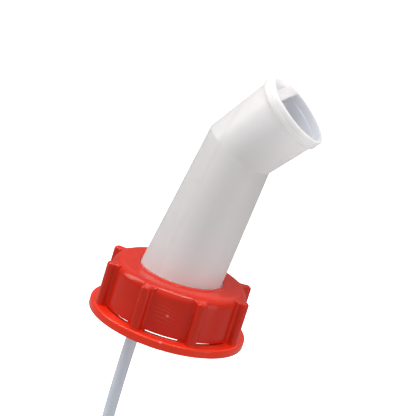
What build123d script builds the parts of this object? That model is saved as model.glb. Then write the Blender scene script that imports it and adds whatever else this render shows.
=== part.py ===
from build123d import *
import math
import os

# A pouring spout for a plastic canister: a bent, milky pouring tube with a moulded-in vent channel, held on the
# canister's neck by a ribbed screw collar, with a flat gasket under its base flange and a vent hose that hangs
# down into the canister. The origin is the middle of the gasket's underside, where the canister's rim seats.
# +Z runs up the collar's axis, and the outlet points towards +X.

os.makedirs("parts", exist_ok=True)

# ---------------------------------------------------------------- driving dimensions, mm and degrees
TUBE_LEAN = 7.8  # lower tube's lean from the collar's axis, towards the outlet
ELBOW_TURN = 29.0  # further turn at the mitred elbow
FOOT_R = 19.6  # tube's outer radius where it leaves the collar
ELBOW_R = 16.7  # and at the elbow, where both legs are narrowest
LOWER_LENGTH = 66.0  # along the axis, from the collar's top to the elbow
OUTLET_LENGTH = 33.0  # along the axis, from the elbow to the mouth
TUBE_WALL = 1.7

DIVIDER_OFFSET = 6.3  # from the tube's axis to the pouring side of the vent channel's wall
DIVIDER_WALL = 1.3
WEB_EDGE = 11.4  # the mouth's web ends this far from the axis, and leaves the air slot above it
WEB_WALL = 1.4
WEB_RECESS = 0.7
MOUTH_STEP_DEPTH = 4.0
MOUTH_STEP = 0.7
BEAD_HEIGHT = 0.65  # the mouth's two bead rings stand this far out of the tube
BEAD_WIDTH = 2.8
BEAD_OVERLAP = 0.35  # the beads run into each other by this much, in a soft valley

GASKET_T = 2.0
GASKET_R = 28.4
GASKET_HOLE_R = 22.4
FLANGE_T = 2.6  # spout's base flange
FLANGE_R = 28.4
NECK_R = 20.0  # short round neck that turns in the collar's hole
SPIGOT_R = 22.0  # ring under the flange that centres the gasket
SPIGOT_WALL = 1.7
SPIGOT_DEPTH = 3.5

COLLAR_H = 26.6
PLATE_T = 2.8  # collar's top plate
HOLE_R = 20.3
LIP_R = 22.6  # low raised lip around the hole
LIP_H = 0.5
SKIRT_R = 32.6
SKIRT_WALL = 1.9
SHOULDER_R = 4.2  # rounding from the top plate into the skirt
RIB_COUNT = 8
RIB_PHASE = -9.0
RIB_R = 36.7  # to the ribs' outer face
RIB_W = 5.0
RIB_ROUND = 2.1
RIB_DROP = 1.0  # the ribs start this far below the collar's top
RIB_FLARE = 1.2  # concave rounding where a rib runs into the skirt
RING_R = 38.0  # wider bottom ring
RING_T = 4.2
RING_ROUND = 1.1
SLIT_H = 1.0  # open slit between the skirt and the bottom ring
BRIDGE_W = 1.5
BRIDGE_TURN = 37.0  # from one rib to the bridge beside the next
THREAD_PITCH = 4.0
THREAD_DEPTH = 1.4
THREAD_TURNS = 2.5
THREAD_TOP = -3.2  # height of the thread's upper end

HOSE_R = 3.0
HOSE_BORE_R = 2.0
HOSE_X = -13.5  # the hose hangs on the side away from the outlet
SOCKET_R = 4.4
SOCKET_DEPTH = 8.0
HOSE_TOP = 0.5  # the hose's upper end, against the step in its socket
HOSE_ROUTE = [
    (HOSE_X, 0.0, HOSE_TOP),
    (HOSE_X, 0.0, -23.0),
    (HOSE_X - 0.7, 0.5, -50.0),
    (HOSE_X - 0.3, 0.6, -80.0),
    (HOSE_X + 0.9, 0.0, -112.0),
    (HOSE_X + 2.4, -0.6, -144.0),
    (HOSE_X + 3.0, -0.4, -173.0),
    (HOSE_X + 2.8, 0.6, -199.0),
]

# ---------------------------------------------------------------- heights and planes
flange_top = GASKET_T + FLANGE_T
plate_top = flange_top + PLATE_T
collar_bottom = plate_top - COLLAR_H
ring_top = collar_bottom + RING_T
skirt_bottom = ring_top + SLIT_H
skirt_bore_r = SKIRT_R - SKIRT_WALL
rib_root = skirt_bore_r + 0.05
flare_r = math.sqrt(SKIRT_R**2 - (RIB_W / 2 + RIB_FLARE) ** 2)

taper = (FOOT_R - ELBOW_R) / LOWER_LENGTH
mouth_r = ELBOW_R + taper * OUTLET_LENGTH
mouth_bore_r = mouth_r - TUBE_WALL
lean = math.radians(TUBE_LEAN)
outlet_lean = math.radians(TUBE_LEAN + ELBOW_TURN)
lower_axis = Vector(math.sin(lean), 0, math.cos(lean))
outlet_axis = Vector(math.sin(outlet_lean), 0, math.cos(outlet_lean))
foot = Vector(0, 0, plate_top)
elbow = foot + lower_axis * LOWER_LENGTH
mouth = elbow + outlet_axis * OUTLET_LENGTH
foot_plane = Plane(origin=foot, x_dir=(math.cos(lean), 0, -math.sin(lean)), z_dir=lower_axis)
mouth_x = Vector(math.cos(outlet_lean), 0, -math.sin(outlet_lean))
mouth_plane = Plane(origin=mouth, x_dir=mouth_x, z_dir=outlet_axis)
mitre_plane = Plane(origin=elbow, x_dir=(0, 1, 0), z_dir=lower_axis + outlet_axis)
FAR = 2 * FOOT_R


def bent_core(inset, start, low=-FAR, high=FAR):
    """The bent tube's solid, inset from its skin and kept between two offsets from its axis.

    The outlet is the lower leg's mirror image in the elbow's mitre, cut off at the mouth.
    """
    run = LOWER_LENGTH + ELBOW_R - start
    start_r = FOOT_R - taper * start - inset
    with BuildPart(foot_plane.offset(start)) as core:
        Cone(start_r, start_r - taper * run, run, align=(Align.CENTER, Align.CENTER, Align.MIN))
        with Locations(((low + high) / 2, 0, 0)):
            Box(
                high - low,
                2 * FAR,
                run,
                align=(Align.CENTER, Align.CENTER, Align.MIN),
                mode=Mode.INTERSECT,
            )
        split(bisect_by=mitre_plane, keep=Keep.BOTTOM)
        mirror(about=mitre_plane)
        split(bisect_by=mouth_plane, keep=Keep.BOTTOM)
    return core.part


# ---------------------------------------------------------------- channels through the spout
main_channel = bent_core(TUBE_WALL, -1.2 * SOCKET_DEPTH - PLATE_T, low=-DIVIDER_OFFSET)

with BuildPart() as vent_channel:
    add(bent_core(TUBE_WALL, -SOCKET_DEPTH, high=-DIVIDER_OFFSET - DIVIDER_WALL))
    split(bisect_by=Plane.XY.offset(flange_top), keep=Keep.TOP)

# ---------------------------------------------------------------- spout body
bead_start = mouth_r - BEAD_HEIGHT
bead_top = mouth_r + BEAD_HEIGHT

with BuildPart() as spout_body:
    # the tube, cut level where it stands on its round neck
    add(bent_core(0, -SOCKET_DEPTH))
    split(bisect_by=Plane.XY.offset(plate_top), keep=Keep.TOP)
    with BuildSketch(Plane.XY.offset(flange_top)):
        Circle(NECK_R)
    extrude(amount=PLATE_T)
    # base flange, and the spigot ring that centres the gasket
    with BuildSketch(Plane.XY.offset(GASKET_T)):
        Circle(FLANGE_R)
    extrude(amount=FLANGE_T)
    with BuildSketch(Plane.XY.offset(GASKET_T - SPIGOT_DEPTH)):
        Circle(SPIGOT_R)
        Circle(SPIGOT_R - SPIGOT_WALL, mode=Mode.SUBTRACT)
    extrude(amount=SPIGOT_DEPTH)
    # two rounded bead rings at the mouth
    with BuildSketch(Plane(origin=mouth, x_dir=mouth_x, z_dir=mouth_x.cross(outlet_axis))):
        for ring in range(2):
            with Locations(((bead_start + bead_top) / 2, -ring * (BEAD_WIDTH - BEAD_OVERLAP) - BEAD_WIDTH / 2)):
                RectangleRounded(bead_top - bead_start, BEAD_WIDTH, 0.45 * (bead_top - bead_start))
    revolve(axis=Axis(mouth, outlet_axis))
    # the two channels, with the dividing wall left between them
    add(main_channel, mode=Mode.SUBTRACT)
    add(vent_channel.part, mode=Mode.SUBTRACT)
    # step inside the mouth, on the pouring side of the divider
    with BuildSketch(mouth_plane):
        Circle(mouth_bore_r + MOUTH_STEP)
        with Locations((-DIVIDER_OFFSET, 0)):
            Rectangle(FAR, FAR * 2, align=(Align.MIN, Align.CENTER), mode=Mode.INTERSECT)
    extrude(amount=-MOUTH_STEP_DEPTH, mode=Mode.SUBTRACT)
    # web that closes the vent channel's end but for the air slot
    with BuildSketch(mouth_plane.offset(-WEB_RECESS)):
        Circle(mouth_bore_r + 0.3 * TUBE_WALL)
        with Locations((-(WEB_EDGE + DIVIDER_OFFSET) / 2, 0)):
            Rectangle(WEB_EDGE - DIVIDER_OFFSET, 2 * FAR, mode=Mode.INTERSECT)
    extrude(amount=-WEB_WALL)
    # hose socket under the vent channel's floor
    with BuildSketch(Plane.XY.offset(GASKET_T - SOCKET_DEPTH)):
        with Locations((HOSE_X, 0)):
            Circle(SOCKET_R)
    extrude(amount=SOCKET_DEPTH)
    with BuildSketch(Plane.XY.offset(flange_top)):
        with Locations((HOSE_X, 0)):
            Circle(HOSE_BORE_R)
    extrude(amount=HOSE_TOP - flange_top, mode=Mode.SUBTRACT)
    with BuildSketch(Plane.XY.offset(GASKET_T - SOCKET_DEPTH)):
        with Locations((HOSE_X, 0)):
            Circle(HOSE_R)
    extrude(amount=HOSE_TOP - GASKET_T + SOCKET_DEPTH, mode=Mode.SUBTRACT)
spout_body.part.label = "spout_body"
export_step(spout_body.part, "parts/spout_body.step")

# ---------------------------------------------------------------- screw collar
with BuildPart() as grip_rib:
    with BuildSketch(Plane.XY.offset(ring_top)) as rib_section:
        with Locations((rib_root, 0)):
            Rectangle(RIB_R - rib_root, RIB_W, align=(Align.MIN, Align.CENTER))
            Rectangle(flare_r - rib_root, RIB_W + 2 * RIB_FLARE, align=(Align.MIN, Align.CENTER))
        corners = rib_section.vertices().filter_by(lambda v: abs(v.Y) < RIB_W / 2 + 0.01)
        fillet(corners.filter_by(lambda v: v.X < RIB_R - 0.01 and v.X > rib_root + 0.01), RIB_FLARE - 0.02)
        fillet(rib_section.vertices().group_by(Axis.X)[-1], RIB_ROUND)
    extrude(amount=plate_top - RIB_DROP - ring_top)
    rib_top = grip_rib.faces().sort_by(Axis.Z)[-1]
    fillet(rib_top.edges().filter_by(lambda e: e.center().X > flare_r), 0.72 * RIB_ROUND)

with BuildPart() as screw_collar:
    # top plate with its low lip, shoulder and skirt
    with BuildSketch(Plane.XZ) as shell_profile:
        with BuildLine():
            Polyline(
                (HOLE_R, flange_top),
                (HOLE_R, plate_top + LIP_H),
                (LIP_R, plate_top + LIP_H),
                (LIP_R + 0.8, plate_top),
                (SKIRT_R, plate_top),
                (SKIRT_R, skirt_bottom),
                (skirt_bore_r, skirt_bottom),
                (skirt_bore_r, flange_top),
                close=True,
            )
        make_face()
        shoulder = shell_profile.vertices().filter_by(lambda v: v.X > SKIRT_R - 0.1 and v.Y > plate_top - 0.1)
        fillet(shoulder, SHOULDER_R)
        lip = shell_profile.vertices().filter_by(lambda v: v.X < LIP_R + 0.1 and v.Y > plate_top + 0.1)
        fillet(lip, 0.8 * LIP_H)
    revolve(axis=Axis.Z)
    # wider bottom ring, with its upper edge rounded
    with BuildSketch(Plane.XZ) as ring_profile:
        with Locations(((skirt_bore_r + RING_R) / 2, (collar_bottom + ring_top) / 2)):
            Rectangle(RING_R - skirt_bore_r, RING_T)
        rim = ring_profile.vertices().group_by(Axis.X)[-1].sort_by(Axis.Y)
        fillet(rim[-1], RING_ROUND)
        fillet(ring_profile.vertices().group_by(Axis.Y)[0].sort_by(Axis.X)[-1], 0.4 * RING_ROUND)
    revolve(axis=Axis.Z)
    # grip ribs tie the ring to the skirt, with a small bridge beside each
    with PolarLocations(0, RIB_COUNT, start_angle=RIB_PHASE):
        add(grip_rib.part)
    with PolarLocations((skirt_bore_r + SKIRT_R) / 2, RIB_COUNT, start_angle=RIB_PHASE + BRIDGE_TURN):
        with Locations((0, 0, (ring_top + skirt_bottom) / 2)):
            Box(SKIRT_WALL, BRIDGE_W, SLIT_H + 0.4)
    # internal thread for the canister's neck
    thread_height = THREAD_PITCH * THREAD_TURNS
    with BuildLine() as thread_path:
        Helix(THREAD_PITCH, thread_height, skirt_bore_r, center=(0, 0, THREAD_TOP - thread_height))
    with BuildSketch(Plane(thread_path.line @ 0, x_dir=(1, 0, 0), z_dir=thread_path.line % 0)):
        Polygon(
            (0.4, -1.3),
            (0.4, 1.3),
            (-THREAD_DEPTH, 0.5),
            (-THREAD_DEPTH, -0.5),
            align=None,
        )
    sweep(path=thread_path.line, is_frenet=True)
screw_collar.part.label = "screw_collar"
export_step(screw_collar.part, "parts/screw_collar.step")

# ---------------------------------------------------------------- sealing gasket
with BuildPart() as sealing_gasket:
    with BuildSketch():
        Circle(GASKET_R)
        Circle(GASKET_HOLE_R, mode=Mode.SUBTRACT)
    extrude(amount=GASKET_T)
sealing_gasket.part.label = "sealing_gasket"
export_step(sealing_gasket.part, "parts/sealing_gasket.step")

# ---------------------------------------------------------------- vent hose
points = [Vector(*point) for point in HOSE_ROUTE]
hose_radii = []
for before, at, after in zip(points, points[1:], points[2:]):
    half_turn = math.radians((at - before).get_angle(after - at)) / 2
    hose_radii.append(0.45 * min((at - before).length, (after - at).length) / math.tan(half_turn))
print("hose bend radii, mm:", [round(radius) for radius in hose_radii])

with BuildPart() as vent_hose:
    with BuildLine() as hose_path:
        FilletPolyline(*points, radius=hose_radii)
    with BuildSketch(Plane.XY.offset(HOSE_TOP)):
        with Locations((HOSE_X, 0)):
            Circle(HOSE_R)
            Circle(HOSE_BORE_R, mode=Mode.SUBTRACT)
    sweep(path=hose_path.line)
vent_hose.part.label = "vent_hose"
export_step(vent_hose.part, "parts/vent_hose.step")
hose_section = math.pi * (HOSE_R**2 - HOSE_BORE_R**2)
hose_length = sum(edge.length for edge in hose_path.edges())
print("hose length, mm:", round(hose_length, 1))
print("hose volume over section times length:", round(vent_hose.part.volume / hose_section / hose_length, 4))
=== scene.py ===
"""Looks of the canister pour spout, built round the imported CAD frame. Blender 4.5, metres, +Z up."""

import math

import bmesh
import bpy
from mathutils import Matrix, Vector


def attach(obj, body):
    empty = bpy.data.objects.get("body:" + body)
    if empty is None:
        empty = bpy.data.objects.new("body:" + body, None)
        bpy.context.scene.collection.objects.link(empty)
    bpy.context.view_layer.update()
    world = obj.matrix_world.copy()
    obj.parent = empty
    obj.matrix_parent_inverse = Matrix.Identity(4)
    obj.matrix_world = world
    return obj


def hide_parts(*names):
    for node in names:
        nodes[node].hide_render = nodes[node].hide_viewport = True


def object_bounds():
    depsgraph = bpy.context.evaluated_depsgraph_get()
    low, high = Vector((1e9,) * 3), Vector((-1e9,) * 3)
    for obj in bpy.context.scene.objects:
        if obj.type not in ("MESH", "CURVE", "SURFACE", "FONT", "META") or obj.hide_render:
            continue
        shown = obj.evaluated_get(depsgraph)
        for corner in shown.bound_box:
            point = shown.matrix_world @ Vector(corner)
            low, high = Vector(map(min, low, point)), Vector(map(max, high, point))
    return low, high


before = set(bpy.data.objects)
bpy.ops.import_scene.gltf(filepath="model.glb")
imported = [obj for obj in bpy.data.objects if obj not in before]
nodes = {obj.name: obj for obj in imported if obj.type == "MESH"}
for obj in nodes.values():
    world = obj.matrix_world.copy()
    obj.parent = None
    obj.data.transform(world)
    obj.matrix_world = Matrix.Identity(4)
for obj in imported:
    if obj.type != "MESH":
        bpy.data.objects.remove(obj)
cad_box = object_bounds()

MM = 0.001
scene = bpy.context.scene

# ------------------------------------------------------------------ camera
CAMERA_TARGET = Vector((2.8, 0.0, 41.0)) * MM
CAMERA_DISTANCE = 695.7 * MM
CAMERA_AZIMUTH = math.radians(12.9)
CAMERA_ELEVATION = math.radians(14.9)
CAMERA_ROLL = math.radians(17.4)
CAMERA_LENS = 129.8  # on a sensor 36 mm wide
CAMERA_SENSOR = 36.0
CAMERA_NEAR = 20 * MM


def turned(azimuth, elevation, roll=0.0):
    """The rotation of something that looks back at the origin from that azimuth and elevation."""
    around = Matrix.Rotation(azimuth, 4, "Z")
    tilt = Matrix.Rotation(math.pi / 2 - elevation, 4, "X")
    return around @ tilt @ Matrix.Rotation(roll, 4, "Z")


def placed(obj, target, distance, azimuth, elevation, roll=0.0):
    """Puts a camera or lamp at a distance from its target, looking at it."""
    rotation = turned(azimuth, elevation, roll)
    obj.matrix_world = Matrix.Translation(target) @ rotation @ Matrix.Translation((0, 0, distance))


def linked(name, data):
    obj = bpy.data.objects.new(name, data)
    scene.collection.objects.link(obj)
    return obj


def object_from(mesh, name):
    """A smooth-shaded object from a mesh that is being edited, which this uses up."""
    data = bpy.data.meshes.new(name)
    mesh.to_mesh(data)
    mesh.free()
    data.shade_smooth()
    return linked(name, data)


camera = linked("camera", bpy.data.cameras.new("camera"))
camera.data.sensor_width = CAMERA_SENSOR
camera.data.lens = CAMERA_LENS
camera.data.clip_start = CAMERA_NEAR
placed(camera, CAMERA_TARGET, CAMERA_DISTANCE, CAMERA_AZIMUTH, CAMERA_ELEVATION, CAMERA_ROLL)
scene.camera = camera

# ------------------------------------------------------------------ vent hose
HOSE_R = 3.0 * MM
HOSE_BORE_R = 2.0 * MM
HOSE_EASE = 0.25 * (HOSE_R - HOSE_BORE_R)  # the wall thins by this at each face of its cut ends
HOSE_SIDES = 40
HOSE_STEPS = 16  # along each piece of the spline
HOSE_X = -13.5
HOSE_ROUTE = [  # control points in millimetres, from the socket downwards
    (HOSE_X, 0.0, 0.5),
    (HOSE_X, 0.0, -23.0),
    (HOSE_X - 0.7, 0.5, -50.0),
    (HOSE_X - 0.3, 0.6, -80.0),
    (HOSE_X + 0.9, 0.0, -112.0),
    (HOSE_X + 2.4, -0.6, -144.0),
    (HOSE_X + 3.0, -0.4, -173.0),
    (HOSE_X + 2.8, 0.6, -199.0),
]


def smooth_line(name, route):
    """Points along the NURBS spline whose control points are the route, in metres."""
    curve = bpy.data.curves.new(name, "CURVE")
    curve.dimensions = "3D"
    curve.resolution_u = HOSE_STEPS
    spline = curve.splines.new("NURBS")
    spline.points.add(len(route) - 1)
    for control, point in zip(spline.points, route):
        control.co = (*(Vector(point) * MM), 1.0)
    spline.order_u = 3
    spline.use_endpoint_u = True
    holder = linked(name, curve)
    bpy.context.view_layer.update()
    mesh = bpy.data.meshes.new_from_object(holder)
    points = [vertex.co.copy() for vertex in mesh.vertices]
    bpy.data.objects.remove(holder)
    bpy.data.meshes.remove(mesh)
    return points


def headings(path):
    """The path's direction at each of its points."""
    last = len(path) - 1
    return [(path[min(i + 1, last)] - path[max(i - 1, 0)]).normalized() for i in range(last + 1)]


def wall_section(path):
    """The hose's wall as (centre, heading, radius), down the outside and back up through the bore."""
    stations = list(zip(path, headings(path)))
    (top, top_way), (foot, foot_way) = stations[0], stations[-1]
    between = stations[1:-1]
    outside = [(top, top_way, HOSE_R - HOSE_EASE), (top + top_way * HOSE_EASE, top_way, HOSE_R)]
    outside += [(centre, way, HOSE_R) for centre, way in between]
    outside += [(foot - foot_way * HOSE_EASE, foot_way, HOSE_R), (foot, foot_way, HOSE_R - HOSE_EASE)]
    inside = [(foot, foot_way, HOSE_BORE_R + HOSE_EASE)]
    inside += [(centre, way, HOSE_BORE_R) for centre, way in reversed(between)]
    inside += [(top, top_way, HOSE_BORE_R + HOSE_EASE)]
    return outside + inside


def hollow_tube(name, path):
    """The hose as one closed mesh: rings of points round the path, joined in turn."""
    angles = [2 * math.pi * k / HOSE_SIDES for k in range(HOSE_SIDES)]
    mesh = bmesh.new()
    rings = []
    for centre, way, radius in wall_section(path):
        side = (Vector((1, 0, 0)) - way * way.x).normalized()
        other = way.cross(side)
        rings.append([
            mesh.verts.new(centre + (side * math.cos(angle) + other * math.sin(angle)) * radius)
            for angle in angles
        ])
    for here, there in zip(rings, rings[1:] + rings[:1]):
        for k in range(HOSE_SIDES):
            after = (k + 1) % HOSE_SIDES
            mesh.faces.new((here[k], here[after], there[after], there[k]))
    bmesh.ops.recalc_face_normals(mesh, faces=mesh.faces)
    return object_from(mesh, name)


hose_path = smooth_line("hose_route", HOSE_ROUTE)
hose = hollow_tube("hose", hose_path)
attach(hose, "spout")
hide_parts("vent_hose")


# ------------------------------------------------------------------ shader nodes
def feed(tree, socket, value):
    """Links a node's output to a socket, or sets the socket to a plain value."""
    if isinstance(value, bpy.types.NodeSocket):
        tree.links.new(value, socket)
    else:
        socket.default_value = value


def node_maker(tree):
    """A function that adds a node with its inputs, by name or number, and its settings."""

    def add(kind, inputs=None, **settings):
        node = tree.nodes.new(kind)
        for key, value in settings.items():
            setattr(node, key, value)
        for key, value in (inputs or {}).items():
            feed(tree, node.inputs[key], value)
        return node

    return add


def new_material(name):
    """A material, the function that adds nodes to it, and one that feeds its Principled shader."""
    material = bpy.data.materials.new(name)
    material.use_nodes = True
    tree = material.node_tree
    shader = tree.nodes["Principled BSDF"]

    def surface(inputs):
        for key, value in inputs.items():
            feed(tree, shader.inputs[key], value)

    return material, node_maker(tree), surface


def dress(obj, material):
    obj.data.materials.clear()
    obj.data.materials.append(material)


def opaque(colour):
    """A colour with full alpha, from a grey number or an RGB tuple."""
    return (*colour, 1) if isinstance(colour, tuple) else (colour, colour, colour, 1)


def ramp(add, value, stops):
    """A colour ramp on a value: stops are (place, colour) with grey numbers or RGB tuples."""
    node = add("ShaderNodeValToRGB", {"Fac": value})
    elements = node.color_ramp.elements
    while len(elements) < len(stops):
        elements.new(0.5)
    for element, (place, colour) in zip(elements, stops):
        element.position = place
        element.color = opaque(colour)
    return node.outputs["Color"]


def span(add, value, start, end):
    """0 up to the start and 1 from the end on, and straight between them, either way round."""
    rising = end > start
    limits = {"Value": value, "From Min": min(start, end), "From Max": max(start, end)}
    limits.update({"To Min": 0.0 if rising else 1.0, "To Max": 1.0 if rising else 0.0})
    return add("ShaderNodeMapRange", limits).outputs["Result"]


def maths(add, operation, *terms):
    return add("ShaderNodeMath", dict(enumerate(terms)), operation=operation).outputs["Value"]


def vectors(add, operation, *terms, output="Value"):
    return add("ShaderNodeVectorMath", dict(enumerate(terms)), operation=operation).outputs[output]


def blend(add, share, base, other):
    """The base colour where the share is 0, and the other colour where it is 1."""
    over = other if isinstance(other, bpy.types.NodeSocket) else opaque(other)
    return add("ShaderNodeMix", {0: share, 6: base, 7: over}, data_type="RGBA").outputs[2]


def noise(add, place, scale, detail):
    return add("ShaderNodeTexNoise", {"Vector": place, "Scale": scale, "Detail": detail}).outputs["Fac"]


def varied(add, pattern, low, high):
    """A colour or number that wanders between two values with a noise pattern."""
    return ramp(add, pattern, [(0.3, low), (0.7, high)])


def bumped(add, pattern, strength, distance):
    inputs = {"Height": pattern, "Strength": strength, "Distance": distance}
    return add("ShaderNodeBump", inputs).outputs["Normal"]


def near(add, place, centre, core, reach):
    """1 as far as the core from a centre, falling to 0 at the reach."""
    return span(add, vectors(add, "DISTANCE", place, centre), reach, core)


# ------------------------------------------------------------------ milky plastic
TUBE_LEAN = math.radians(7.8)
OUTLET_LEAN = math.radians(36.8)
OUTLET_AXIS = (math.sin(OUTLET_LEAN), 0.0, math.cos(OUTLET_LEAN))
VENT_SIDE = (-math.cos(OUTLET_LEAN), 0.0, math.sin(OUTLET_LEAN))  # across it, towards its vent channel
MOUTH = (28.73 * MM, 0.0, 99.21 * MM)  # the centre of the outlet's mouth
OUTLET_TAPER = 0.0439  # the outlet's radius grows this much for each unit along its axis
INSIDE_R = 17.4 * MM  # between the wall's two faces, at the mouth
INSIDE_BLUR = 0.2 * MM
INSIDE_REACH = (24 * MM, 32 * MM)  # from the mouth's centre, where the painted shade and glow inside the mouth fade out
BORE_SIDE = (5.5 * MM, 9.0 * MM)  # from the axis to the vent's side, where the bore's painted shade fades out
VENT_START = (11.0 * MM, 12.0 * MM)
VENT_GLOW = 0.22
DIVIDER_NORMAL = (math.cos(TUBE_LEAN), 0.0, -math.sin(TUBE_LEAN))  # across the lower tube's axis
DIVIDER_AT = -7.95 * MM  # along that normal, from the origin
DIVIDER_HALF = 1.6 * MM
DIVIDER_SHADE = [(0.0, 0.0), (0.3, 0.16), (0.7, 0.16), (1.0, 0.0)]


def mouth_masks(add, place):
    """Masks for the walls inside the mouth: 1 in the pouring bore, where shade is painted, and 1 in the
    vent above its web, where a glow is painted.
    """
    offset = vectors(add, "SUBTRACT", place, MOUTH, output="Vector")
    across = vectors(add, "CROSS_PRODUCT", offset, OUTLET_AXIS, output="Vector")
    radius = vectors(add, "LENGTH", across)
    depth = vectors(add, "DOT_PRODUCT", offset, OUTLET_AXIS)
    side = vectors(add, "DOT_PRODUCT", offset, VENT_SIDE)
    evened = maths(add, "MULTIPLY_ADD", depth, -OUTLET_TAPER, radius)
    wall = span(add, evened, INSIDE_R + INSIDE_BLUR, INSIDE_R)
    full, gone = INSIDE_REACH
    inside = maths(add, "MULTIPLY", wall, span(add, vectors(add, "LENGTH", offset), gone, full))
    full, gone = BORE_SIDE
    bore = maths(add, "MULTIPLY", inside, span(add, side, gone, full))
    vent = maths(add, "MULTIPLY", inside, span(add, side, *VENT_START))
    return bore, vent


def milky_plastic():
    material, add, surface = new_material("milky_plastic")
    place = add("ShaderNodeTexCoord").outputs["Object"]
    bore, vent = mouth_masks(add, place)
    cloud = noise(add, place, 28.0, 3.0)
    outside = varied(add, cloud, (0.950, 0.868, 0.862), (0.970, 0.892, 0.884))
    # painted shade: the walls inside the mouth get a darker, bluer grey than the outside
    inside = varied(add, cloud, (0.63, 0.64, 0.69), (0.67, 0.68, 0.73))
    bore_shaded = blend(add, bore, outside, inside)
    # painted shade: a darker band where the divider would show faintly through the skin
    behind = vectors(add, "DOT_PRODUCT", place, DIVIDER_NORMAL)
    band = span(add, behind, DIVIDER_AT - DIVIDER_HALF, DIVIDER_AT + DIVIDER_HALF)
    shaded = blend(add, ramp(add, band, DIVIDER_SHADE), bore_shaded, (0.70, 0.67, 0.67))
    grain = noise(add, place, 700.0, 4.0)
    surface({
        "Base Color": shaded,
        # painted light: a glow stands in for light carried through the thin wall beside the air slot
        "Emission Color": (0.93, 0.95, 1.0, 1),
        "Emission Strength": maths(add, "MULTIPLY", vent, VENT_GLOW),
        "Roughness": varied(add, grain, 0.30, 0.40),
        "Normal": bumped(add, grain, 0.1, 0.02 * MM),
        "Subsurface Weight": 1.0,
        "Subsurface Radius": (1.0, 1.0, 1.0),
        "Subsurface Scale": 5 * MM,
        "IOR": 1.5,
    })
    return material


# ------------------------------------------------------------------ red plastic
RING_GLOW = (-13.8 * MM, -15.2 * MM)  # heights between which the ring's painted glow comes in
SCUFF_AT = (5.7 * MM, -32.1 * MM, -4.0 * MM)
DENT_AT = (7.1 * MM, -31.8 * MM, -4.3 * MM)
NICK_AT = (8.8 * MM, -36.7 * MM, -15.3 * MM)


def rubbed_arcs(add, place):
    """A patch of fine arcs that rubbing has left on the front panel."""
    waves = {"Vector": place, "Scale": 170.0, "Distortion": 11.0, "Detail": 2.0, "Detail Scale": 0.5}
    arcs = add("ShaderNodeTexWave", waves, bands_direction="Z").outputs["Fac"]
    patch = near(add, place, SCUFF_AT, 2.0 * MM, 7.0 * MM)
    return maths(add, "MULTIPLY", ramp(add, arcs, [(0.66, 0.0), (0.97, 0.30)]), patch)


def red_plastic():
    material, add, surface = new_material("red_plastic")
    place = add("ShaderNodeTexCoord").outputs["Object"]
    cloud = noise(add, place, 60.0, 3.0)
    plain_red = varied(add, cloud, (0.60, 0.019, 0.005), (0.65, 0.024, 0.007))
    ring_glow_red = varied(add, cloud, (0.86, 0.034, 0.010), (0.92, 0.042, 0.014))
    # painted light: the thick bottom ring is coloured lighter than the skirt and the plate, standing in
    # for light glowing through it
    height = add("ShaderNodeSeparateXYZ", {"Vector": place}).outputs["Z"]
    red_with_ring_glow = blend(add, span(add, height, *RING_GLOW), plain_red, ring_glow_red)
    scuffed = blend(add, rubbed_arcs(add, place), red_with_ring_glow, (0.82, 0.10, 0.06))
    # two small pink dents
    dent = near(add, place, DENT_AT, 0.1 * MM, 0.9 * MM)
    nick = near(add, place, NICK_AT, 0.2 * MM, 1.0 * MM)
    surface({
        "Base Color": blend(add, maths(add, "MAXIMUM", dent, nick), scuffed, (0.84, 0.22, 0.26)),
        "Roughness": varied(add, noise(add, place, 300.0, 2.0), 0.17, 0.21),
        "IOR": 1.45,
        "Specular IOR Level": 0.42,
    })
    return material


# ------------------------------------------------------------------ rubber and hose
def gasket_rubber():
    material, add, surface = new_material("gasket_rubber")
    place = add("ShaderNodeTexCoord").outputs["Object"]
    grain = noise(add, place, 1600.0, 3.0)
    surface({
        "Base Color": varied(add, grain, (0.016, 0.016, 0.017), (0.028, 0.028, 0.029)),
        "Roughness": varied(add, grain, 0.62, 0.78),
        "Normal": bumped(add, grain, 0.4, 0.06 * MM),
    })
    return material


def hose_plastic():
    material, add, surface = new_material("hose_plastic")
    place = add("ShaderNodeTexCoord").outputs["Object"]
    cloud = noise(add, place, 45.0, 2.0)
    surface({
        "Base Color": varied(add, cloud, (0.73, 0.80, 0.99), (0.77, 0.84, 1.0)),
        "Roughness": varied(add, noise(add, place, 500.0, 3.0), 0.30, 0.42),
        "Subsurface Weight": 1.0,
        "Subsurface Radius": (1.0, 0.95, 0.8),
        "Subsurface Scale": 1 * MM,
        "IOR": 1.5,
    })
    return material


dress(nodes["spout_body"], milky_plastic())
dress(nodes["screw_collar"], red_plastic())
dress(nodes["sealing_gasket"], gasket_rubber())
dress(hose, hose_plastic())

# ------------------------------------------------------------------ floor and light
FLOOR_Z = cad_box[0].z
SWEEP_R = 2.6
COVE_R = 1.2
COVE_STEPS = 12
SWEEP_H = 3.0
SWEEP_SIDES = 96
FLOOR_GLOW = 0.9
# greys up the sky from straight below to straight above, with a darker band round the horizon
ROOM_GREYS = [(0.0, 1.2), (0.26, 1.2), (0.38, 0.45), (0.66, 0.35), (0.8, 1.1)]
ROOM_LIGHT = 0.56


def floor_material():
    material, _, surface = new_material("studio_sweep")
    surface({
        "Base Color": (0.9, 0.9, 0.9, 1),
        "Roughness": 1.0,
        "Specular IOR Level": 0.0,
        "Emission Color": (1, 1, 1, 1),
        "Emission Strength": FLOOR_GLOW,
    })
    return material


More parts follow.
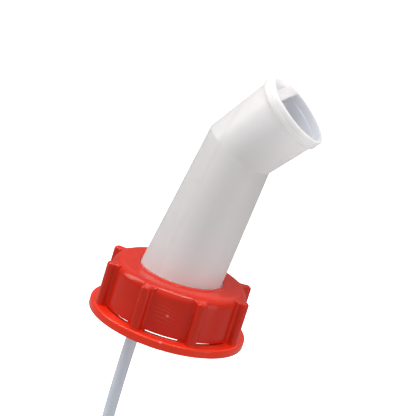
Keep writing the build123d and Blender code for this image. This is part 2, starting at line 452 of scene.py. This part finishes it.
def studio_sweep():
    """A plain pale floor that curves up into a round backdrop. Only the camera sees it."""
    profile = [(0.0, 0.0), (SWEEP_R, 0.0)]
    for step in range(1, COVE_STEPS + 1):
        angle = math.radians(90 * step / COVE_STEPS)
        profile.append((SWEEP_R + COVE_R * math.sin(angle), COVE_R * (1 - math.cos(angle))))
    profile.append((SWEEP_R + COVE_R, SWEEP_H))
    mesh = bmesh.new()
    line = [mesh.verts.new((x, 0, FLOOR_Z + z)) for x, z in profile]
    edges = [mesh.edges.new(pair) for pair in zip(line, line[1:])]
    bmesh.ops.spin(
        mesh,
        geom=line + edges,
        axis=(0, 0, 1),
        cent=(0, 0, 0),
        angle=2 * math.pi,
        steps=SWEEP_SIDES,
        use_merge=True,
    )
    bmesh.ops.remove_doubles(mesh, verts=mesh.verts, dist=0.01 * MM)
    floor = object_from(mesh, "floor")
    dress(floor, floor_material())
    # the lamps and the room alone light the object
    floor.visible_diffuse = False
    floor.visible_glossy = False
    floor.visible_transmission = False
    floor.visible_volume_scatter = False
    floor.visible_shadow = False


def studio_world():
    """A dim room whose darker band keeps flat tops from turning pale at a low angle."""
    world = bpy.data.worlds.new("studio")
    world.use_nodes = True
    tree = world.node_tree
    add = node_maker(tree)
    place = add("ShaderNodeTexCoord").outputs["Generated"]
    height = add("ShaderNodeSeparateXYZ", {"Vector": place}).outputs["Z"]
    background = tree.nodes["Background"]
    feed(tree, background.inputs["Color"], ramp(add, span(add, height, -1.0, 1.0), ROOM_GREYS))
    feed(tree, background.inputs["Strength"], ROOM_LIGHT)
    scene.world = world


def soft_box(name, azimuth, elevation, distance, size, power, colour=(1, 1, 1), mirrored=True):
    """A soft lamp aimed at the object, which glossy surfaces mirror or not."""
    lamp = bpy.data.lights.new(name, "AREA")
    lamp.shape = "RECTANGLE"
    lamp.size, lamp.size_y = size
    lamp.energy = power
    lamp.color = colour
    box = linked(name, lamp)
    placed(box, CAMERA_TARGET, distance, math.radians(azimuth), math.radians(elevation))
    box.visible_camera = False
    box.visible_glossy = mirrored


studio_sweep()
studio_world()
soft_box("top_light", -5, 80, 1.0, size=(1.0, 0.18), power=6.0)
soft_box("left_light", -75, 32, 1.0, size=(0.35, 0.9), power=4.6, colour=(1.0, 0.98, 0.97))
soft_box("right_light", 75, 0, 1.3, size=(0.6, 0.9), power=2.2, colour=(1.0, 0.97, 0.96))
soft_box("front_fill", 20, 8, 1.5, size=(1.2, 1.2), power=2.4, mirrored=False)
soft_box("back_light", 165, 35, 1.2, size=(0.8, 0.8), power=5.0, mirrored=False)
scene.view_settings.view_transform = "Standard"
